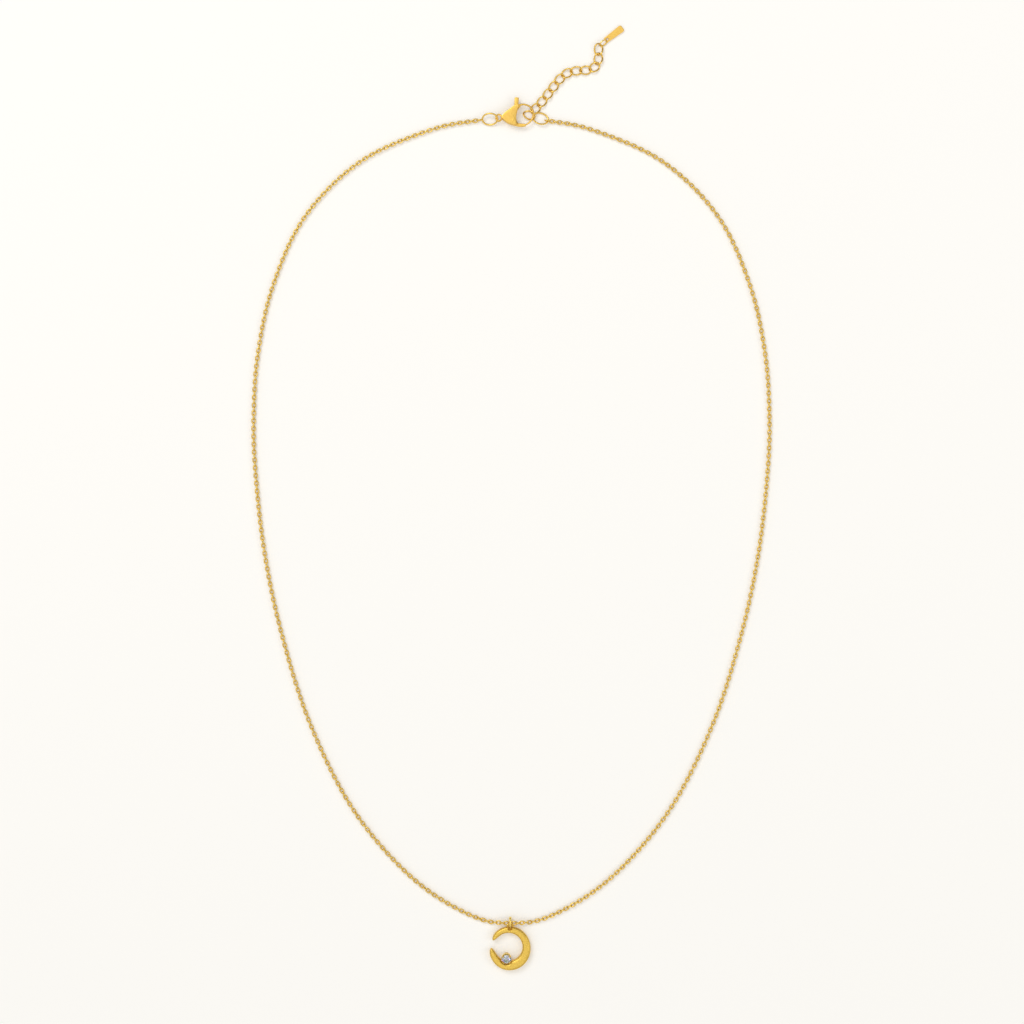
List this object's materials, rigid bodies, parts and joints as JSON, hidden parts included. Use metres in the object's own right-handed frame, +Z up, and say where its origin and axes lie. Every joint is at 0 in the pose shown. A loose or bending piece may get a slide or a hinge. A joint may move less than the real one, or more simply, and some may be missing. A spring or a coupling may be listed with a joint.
{
  "type": "pendant necklace",
  "caption": "Fine gold cable-chain necklace laid flat, with a crescent moon pendant set with a round stone, a lobster clasp and a curb-link extender.",
  "frame": {"origin": "centre of the laid-out necklace's footprint, on the table surface", "axes": "+Z up from the table, +Y towards the clasp, -Y towards the pendant, +X to the right as it is worn facing the viewer"},
  "size_m": [0.1106, 0.2006, 0.003],
  "materials": {
    "chain_gold": "polished yellow gold plate",
    "ring_gold": "polished yellow gold plate",
    "bright_gold": "bright polished gold plate",
    "satin_gold": "fine satin-brushed gold plate",
    "clasp_gold": "brushed gold plate",
    "spring_steel": "drawn spring wire",
    "clear_stone": "clear faceted stone"
  },
  "bodies": {
    "chain_center": {"chain_center": "chain_gold"},
    "chain_left_01": {"chain_left_01": "chain_gold"},
    "chain_left_02": {"chain_left_02": "chain_gold"},
    "chain_left_03": {"chain_left_03": "chain_gold"},
    "chain_left_04": {"chain_left_04": "chain_gold"},
    "chain_left_05": {"chain_left_05": "chain_gold"},
    "chain_left_06": {"chain_left_06": "chain_gold"},
    "chain_left_07": {"chain_left_07": "chain_gold"},
    "chain_left_08": {"chain_left_08": "chain_gold", "chain_left_end_link": "chain_gold"},
    "chain_right_01": {"chain_right_01": "chain_gold"},
    "chain_right_02": {"chain_right_02": "chain_gold"},
    "chain_right_03": {"chain_right_03": "chain_gold"},
    "chain_right_04": {"chain_right_04": "chain_gold"},
    "chain_right_05": {"chain_right_05": "chain_gold"},
    "chain_right_06": {"chain_right_06": "chain_gold"},
    "chain_right_07": {"chain_right_07": "chain_gold"},
    "chain_right_08": {"chain_right_08": "chain_gold", "chain_right_end_link": "chain_gold"},
    "bail_ring": {"bail_ring": "bright_gold"},
    "moon": {"moon": "satin_gold", "stone_setting": "bright_gold", "stone": "clear_stone"},
    "ring_left": {"ring_left": "ring_gold"},
    "clasp_body": {"clasp_body": "clasp_gold", "clasp_rivet": "clasp_gold", "clasp_spring": "spring_steel"},
    "clasp_lever": {"clasp_lever": "clasp_gold"},
    "ring_right": {"ring_right": "ring_gold"},
    "extender_link_01": {"extender_link_01": "ring_gold"},
    "extender_link_02": {"extender_link_02": "ring_gold"},
    "extender_link_03": {"extender_link_03": "ring_gold"},
    "extender_link_04": {"extender_link_04": "ring_gold"},
    "extender_link_05": {"extender_link_05": "ring_gold"},
    "extender_link_06": {"extender_link_06": "ring_gold"},
    "extender_link_07": {"extender_link_07": "ring_gold"},
    "extender_link_08": {"extender_link_08": "ring_gold"},
    "extender_link_09": {"extender_link_09": "ring_gold"},
    "extender_link_10": {"extender_link_10": "ring_gold"},
    "extender_link_11": {"extender_link_11": "ring_gold"},
    "extender_link_12": {"extender_link_12": "ring_gold"},
    "tag_ring": {"tag_ring": "ring_gold"},
    "end_tag": {"end_tag": "clasp_gold"}
  },
  "joints": [
    {"name": "left_chain_bend_01", "type": "hinge", "parent": "chain_center", "child": "chain_left_01", "pos_m": [-0.00447, -0.09009, 0.0005], "axis": [0, 0, 1], "range_deg": [0, 20]},
    {"name": "left_chain_bend_02", "type": "hinge", "parent": "chain_left_01", "child": "chain_left_02", "pos_m": [-0.02635, -0.07555, 0.0005], "axis": [0, 0, 1], "range_deg": [0, 20]},
    {"name": "left_chain_bend_03", "type": "hinge", "parent": "chain_left_02", "child": "chain_left_03", "pos_m": [-0.04059, -0.05319, 0.0005], "axis": [0, 0, 1], "range_deg": [0, 20]},
    {"name": "left_chain_bend_04", "type": "hinge", "parent": "chain_left_03", "child": "chain_left_04", "pos_m": [-0.04909, -0.02798, 0.0005], "axis": [0, 0, 1], "range_deg": [0, 20]},
    {"name": "left_chain_bend_05", "type": "hinge", "parent": "chain_left_04", "child": "chain_left_05", "pos_m": [-0.05377, -0.00179, 0.0005], "axis": [0, 0, 1], "range_deg": [0, 20]},
    {"name": "left_chain_bend_06", "type": "hinge", "parent": "chain_left_05", "child": "chain_left_06", "pos_m": [-0.05451, 0.0248, 0.0005], "axis": [0, 0, 1], "range_deg": [0, 20]},
    {"name": "left_chain_bend_07", "type": "hinge", "parent": "chain_left_06", "child": "chain_left_07", "pos_m": [-0.04865, 0.05067, 0.0005], "axis": [0, 0, 1], "range_deg": [0, 20]},
    {"name": "left_chain_bend_08", "type": "hinge", "parent": "chain_left_07", "child": "chain_left_08", "pos_m": [-0.0324, 0.07127, 0.0005], "axis": [0, 0, 1], "range_deg": [0, 20]},
    {"name": "right_chain_bend_01", "type": "hinge", "parent": "chain_center", "child": "chain_right_01", "pos_m": [0.00447, -0.09009, 0.0005], "axis": [0, 0, -1], "range_deg": [0, 20]},
    {"name": "right_chain_bend_02", "type": "hinge", "parent": "chain_right_01", "child": "chain_right_02", "pos_m": [0.02628, -0.07564, 0.0005], "axis": [0, 0, -1], "range_deg": [0, 20]},
    {"name": "right_chain_bend_03", "type": "hinge", "parent": "chain_right_02", "child": "chain_right_03", "pos_m": [0.0405, -0.0534, 0.0005], "axis": [0, 0, -1], "range_deg": [0, 20]},
    {"name": "right_chain_bend_04", "type": "hinge", "parent": "chain_right_03", "child": "chain_right_04", "pos_m": [0.049, -0.02832, 0.0005], "axis": [0, 0, -1], "range_deg": [0, 20]},
    {"name": "right_chain_bend_05", "type": "hinge", "parent": "chain_right_04", "child": "chain_right_05", "pos_m": [0.05372, -0.00225, 0.0005], "axis": [0, 0, -1], "range_deg": [0, 20]},
    {"name": "right_chain_bend_06", "type": "hinge", "parent": "chain_right_05", "child": "chain_right_06", "pos_m": [0.05455, 0.02423, 0.0005], "axis": [0, 0, -1], "range_deg": [0, 20]},
    {"name": "right_chain_bend_07", "type": "hinge", "parent": "chain_right_06", "child": "chain_right_07", "pos_m": [0.04891, 0.05003, 0.0005], "axis": [0, 0, -1], "range_deg": [0, 20]},
    {"name": "right_chain_bend_08", "type": "hinge", "parent": "chain_right_07", "child": "chain_right_08", "pos_m": [0.03306, 0.07081, 0.0005], "axis": [0, 0, -1], "range_deg": [0, 20]},
    {"name": "pendant_lift", "type": "hinge", "parent": "chain_center", "child": "bail_ring", "pos_m": [-0.00027, -0.09017, 0.00095], "axis": [-1, 0, 0], "range_deg": [0, 150]},
    {"name": "moon_swing", "type": "hinge", "parent": "bail_ring", "child": "moon", "pos_m": [-0.00027, -0.09123, 0.0008], "axis": [0, 0, 1], "range_deg": [-24, 24]},
    {"name": "ring_left_swivel", "type": "hinge", "parent": "chain_left_08", "child": "ring_left", "pos_m": [-0.00623, 0.08038, 0.0005], "axis": [0, 0, 1], "range_deg": [-10, 10]},
    {"name": "clasp_swivel", "type": "hinge", "parent": "ring_left", "child": "clasp_body", "pos_m": [-0.00293, 0.08049, 0.001], "axis": [0, 0, 1], "range_deg": [-10, 10]},
    {"name": "lever_press", "type": "hinge", "parent": "clasp_body", "child": "clasp_lever", "pos_m": [0.0003, 0.08004, 0.001], "axis": [0, 0, 1], "range_deg": [0, 18], "stiffness_Nm_per_rad": 0.012, "springref_deg": -9.74},
    {"name": "ring_right_swivel", "type": "hinge", "parent": "chain_right_08", "child": "ring_right", "pos_m": [0.00777, 0.08005, 0.0005], "axis": [0, 0, 1], "range_deg": [-8, 8]},
    {"name": "extender_bend_01", "type": "hinge", "parent": "ring_right", "child": "extender_link_01", "pos_m": [0.0046, 0.08084, 0.00044], "axis": [0, 0, 1], "range_deg": [-8, 8]},
    {"name": "extender_bend_02", "type": "hinge", "parent": "extender_link_01", "child": "extender_link_02", "pos_m": [0.00443, 0.08201, 0.00046], "axis": [0, 0, -1], "range_deg": [-8, 8]},
    {"name": "extender_bend_03", "type": "hinge", "parent": "extender_link_02", "child": "extender_link_03", "pos_m": [0.00578, 0.08343, 0.00044], "axis": [0, 0, 1], "range_deg": [-15, 15]},
    {"name": "extender_bend_04", "type": "hinge", "parent": "extender_link_03", "child": "extender_link_04", "pos_m": [0.00708, 0.08498, 0.00044], "axis": [0, 0, -1], "range_deg": [-15, 15]},
    {"name": "extender_bend_05", "type": "hinge", "parent": "extender_link_04", "child": "extender_link_05", "pos_m": [0.00832, 0.08657, 0.00044], "axis": [0, 0, 1], "range_deg": [-15, 15]},
    {"name": "extender_bend_06", "type": "hinge", "parent": "extender_link_05", "child": "extender_link_06", "pos_m": [0.00957, 0.08816, 0.00044], "axis": [0, 0, -1], "range_deg": [-15, 15]},
    {"name": "extender_bend_07", "type": "hinge", "parent": "extender_link_06", "child": "extender_link_07", "pos_m": [0.01099, 0.08958, 0.00044], "axis": [0, 0, 1], "range_deg": [-15, 15]},
    {"name": "extender_bend_08", "type": "hinge", "parent": "extender_link_07", "child": "extender_link_08", "pos_m": [0.01273, 0.09048, 0.00044], "axis": [0, 0, -1], "range_deg": [-15, 15]},
    {"name": "extender_bend_09", "type": "hinge", "parent": "extender_link_08", "child": "extender_link_09", "pos_m": [0.01471, 0.09081, 0.00044], "axis": [0, 0, 1], "range_deg": [-15, 15]},
    {"name": "extender_bend_10", "type": "hinge", "parent": "extender_link_09", "child": "extender_link_10", "pos_m": [0.01666, 0.0912, 0.00044], "axis": [0, 0, -1], "range_deg": [-15, 15]},
    {"name": "extender_bend_11", "type": "hinge", "parent": "extender_link_10", "child": "extender_link_11", "pos_m": [0.01803, 0.09241, 0.00044], "axis": [0, 0, 1], "range_deg": [-8, 8]},
    {"name": "extender_bend_12", "type": "hinge", "parent": "extender_link_11", "child": "extender_link_12", "pos_m": [0.01848, 0.09431, 0.00044], "axis": [0, 0, -1], "range_deg": [-15, 15]},
    {"name": "tag_ring_swivel", "type": "hinge", "parent": "extender_link_12", "child": "tag_ring", "pos_m": [0.01897, 0.09647, 0.00058], "axis": [0, 0, 1], "range_deg": [-12, 12]},
    {"name": "end_tag_swivel", "type": "hinge", "parent": "tag_ring", "child": "end_tag", "pos_m": [0.02016, 0.09739, 0], "axis": [0, 0, -1], "range_deg": [-12, 12]}
  ]
}
